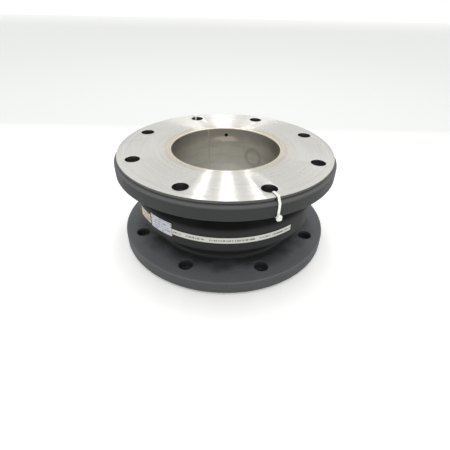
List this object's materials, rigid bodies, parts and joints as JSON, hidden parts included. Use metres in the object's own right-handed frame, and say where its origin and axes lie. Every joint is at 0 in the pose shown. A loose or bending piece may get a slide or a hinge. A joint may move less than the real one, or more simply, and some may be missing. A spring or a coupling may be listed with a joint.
{
  "type": "rubber expansion joint",
  "caption": "Single-arch spool-type rubber expansion joint for pipes, with drilled full-face rubber flanges and a brushed stainless flow-liner plate and sleeve.",
  "frame": {"origin": "centre of the lower rubber flange's sealing face, on the pipe axis", "axes": "+Z along the pipe axis, from the lower flange up to the liner plate; bolt holes straddle X and Y"},
  "size_m": [0.3526, 0.3526, 0.159],
  "materials": {
    "tube_rubber": "moulded, matt black",
    "fabric": "rubberised woven fabric",
    "filler": "matt black",
    "cover_rubber": "matt black with a faint grey bloom",
    "ring_steel": "drawn bar",
    "stainless": "turned, fine concentric brushing",
    "weld": "ground weld with straw heat tint",
    "strip_print": "light grey strip with dark dashes",
    "white_paper": "matt",
    "tan_paper": "matt",
    "nylon": "satin"
  },
  "bodies": {
    "lower_flange": {"inner_tube": "tube_rubber", "lower_flange_filler": "filler"},
    "lower_neck": {"lower_root_ring": "ring_steel"},
    "lower_flank": {"lower_arch_ring": "ring_steel", "carcass_ply_inner": "fabric"},
    "arch_crown": {"outer_cover": "cover_rubber", "carcass_ply_outer": "fabric", "marking_strip": "strip_print", "white_label": "white_paper", "tan_label": "tan_paper"},
    "upper_flank": {"upper_arch_ring": "ring_steel", "carcass_ply_middle": "fabric"},
    "upper_neck": {"upper_root_ring": "ring_steel"},
    "upper_flange": {"upper_flange_filler": "filler", "liner_plate": "stainless", "liner_sleeve": "stainless", "sleeve_ring_weld": "weld", "sleeve_seam_weld": "weld", "cable_tie_front": "nylon", "cable_tie_back": "nylon"}
  },
  "joints": [
    {"name": "shift_x", "type": "slide", "parent": "lower_flange", "child": "lower_neck", "axis": [1, 0, 0], "range_m": [-0.005, 0.005], "stiffness_N_per_m": 105000, "deforming": ["inner_tube"]},
    {"name": "tilt_x", "type": "hinge", "parent": "lower_neck", "child": "lower_flank", "pos_m": [0, 0, 0.0762], "axis": [1, 0, 0], "range_deg": [-2.5, 2.5], "stiffness_Nm_per_rad": 1700},
    {"name": "axial_lower", "type": "slide", "parent": "lower_flank", "child": "arch_crown", "axis": [0, 0, 1], "range_m": [-0.00635, 0.00317], "stiffness_N_per_m": 170000, "deforming": ["carcass_ply_inner"]},
    {"name": "axial_upper", "type": "slide", "parent": "arch_crown", "child": "upper_flank", "axis": [0, 0, 1], "range_m": [-0.00635, 0.00317], "stiffness_N_per_m": 170000, "deforming": ["carcass_ply_outer", "carcass_ply_middle", "outer_cover"]},
    {"name": "tilt_y", "type": "hinge", "parent": "upper_flank", "child": "upper_neck", "pos_m": [0, 0, 0.0762], "axis": [0, 1, 0], "range_deg": [-2.5, 2.5], "stiffness_Nm_per_rad": 1700},
    {"name": "shift_y", "type": "slide", "parent": "upper_neck", "child": "upper_flange", "axis": [0, 1, 0], "range_m": [-0.005, 0.005], "stiffness_N_per_m": 105000}
  ],
  "couplings": [
    {"joint": "axial_lower", "follows": "axial_upper", "ratio": 1}
  ]
}
